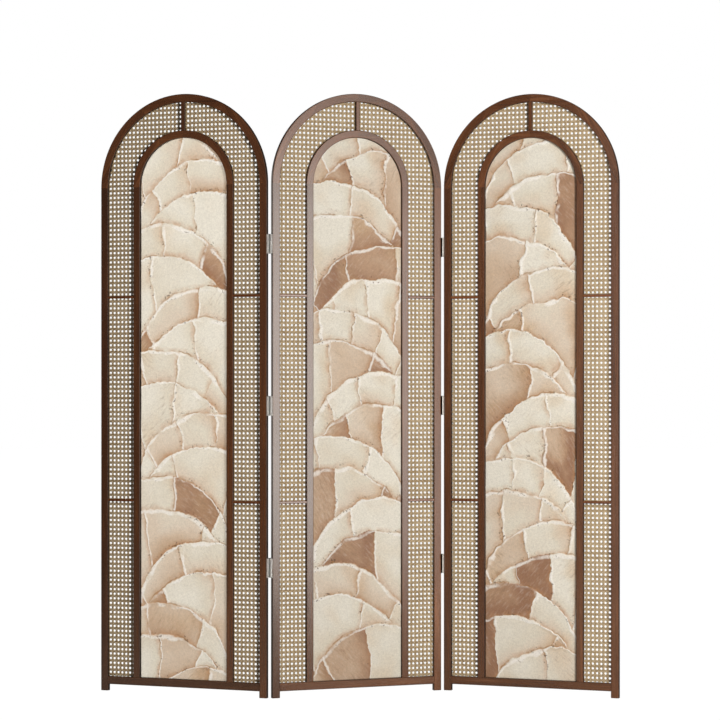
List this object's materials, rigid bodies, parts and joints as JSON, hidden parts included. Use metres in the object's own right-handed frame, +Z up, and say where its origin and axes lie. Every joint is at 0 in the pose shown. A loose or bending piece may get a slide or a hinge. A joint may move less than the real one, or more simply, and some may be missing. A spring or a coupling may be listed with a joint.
{
  "type": "folding screen",
  "caption": "Free-standing folding screen of arched hinged wooden panels, each with open cane webbing round a plaster-faced centre board, used to divide or dress a room.",
  "frame": {"origin": "on the floor, at the centre of the footprint of the screen as it stands in its zigzag", "axes": "+Z up; the front, plaster-faced side looks towards -Y; +X to the right as seen from the front"},
  "size_m": [1.5538, 0.2224, 1.8],
  "materials": {
    "frame_wood": "dark walnut stain under a satin lacquer, straight grain along each member",
    "cane": "open woven rattan webbing, natural, dull",
    "board_wood": "sanded plywood",
    "plaster": "matt modelling plaster laid on with a knife, in cream, blush, tan and brown",
    "dowel_wood": "plain beech",
    "hinge_steel": "satin nickel plate",
    "screw_steel": "zinc plate"
  },
  "bodies": {
    "left_panel": {"left_stile_left": "frame_wood", "left_stile_right": "frame_wood", "left_arch_left": "frame_wood", "left_arch_right": "frame_wood", "left_bottom_rail": "frame_wood", "left_inner_stile_left": "frame_wood", "left_inner_stile_right": "frame_wood", "left_inner_arch_left": "frame_wood", "left_inner_arch_right": "frame_wood", "left_crown_bar": "frame_wood", "left_cross_bars": "frame_wood", "left_cane_left": "cane", "left_cane_right": "cane", "left_board": "board_wood", "left_plaster": "plaster", "left_dowels": "dowel_wood", "left_hinge_side_leaves": "hinge_steel", "left_hinge_side_screws": "screw_steel"},
    "middle_panel": {"middle_stile_left": "frame_wood", "middle_stile_right": "frame_wood", "middle_arch_left": "frame_wood", "middle_arch_right": "frame_wood", "middle_bottom_rail": "frame_wood", "middle_inner_stile_left": "frame_wood", "middle_inner_stile_right": "frame_wood", "middle_inner_arch_left": "frame_wood", "middle_inner_arch_right": "frame_wood", "middle_crown_bar": "frame_wood", "middle_cross_bars": "frame_wood", "middle_cane_left": "cane", "middle_cane_right": "cane", "middle_board": "board_wood", "middle_plaster": "plaster", "middle_dowels": "dowel_wood", "left_hinge_centre_leaves": "hinge_steel", "left_hinge_pins": "hinge_steel", "left_hinge_centre_screws": "screw_steel", "right_hinge_centre_leaves": "hinge_steel", "right_hinge_pins": "hinge_steel", "right_hinge_centre_screws": "screw_steel"},
    "right_panel": {"right_stile_left": "frame_wood", "right_stile_right": "frame_wood", "right_arch_left": "frame_wood", "right_arch_right": "frame_wood", "right_bottom_rail": "frame_wood", "right_inner_stile_left": "frame_wood", "right_inner_stile_right": "frame_wood", "right_inner_arch_left": "frame_wood", "right_inner_arch_right": "frame_wood", "right_crown_bar": "frame_wood", "right_cross_bars": "frame_wood", "right_cane_left": "cane", "right_cane_right": "cane", "right_board": "board_wood", "right_plaster": "plaster", "right_dowels": "dowel_wood", "right_hinge_side_leaves": "hinge_steel", "right_hinge_side_screws": "screw_steel"}
  },
  "joints": [
    {"name": "left_fold", "type": "hinge", "parent": "middle_panel", "child": "left_panel", "pos_m": [-0.26033, -0.0956, 0], "axis": [0, 0, 1], "range_deg": [-135, 45]},
    {"name": "right_fold", "type": "hinge", "parent": "middle_panel", "child": "right_panel", "pos_m": [0.26033, 0.0956, 0], "axis": [0, 0, 1], "range_deg": [-135, 45]}
  ]
}
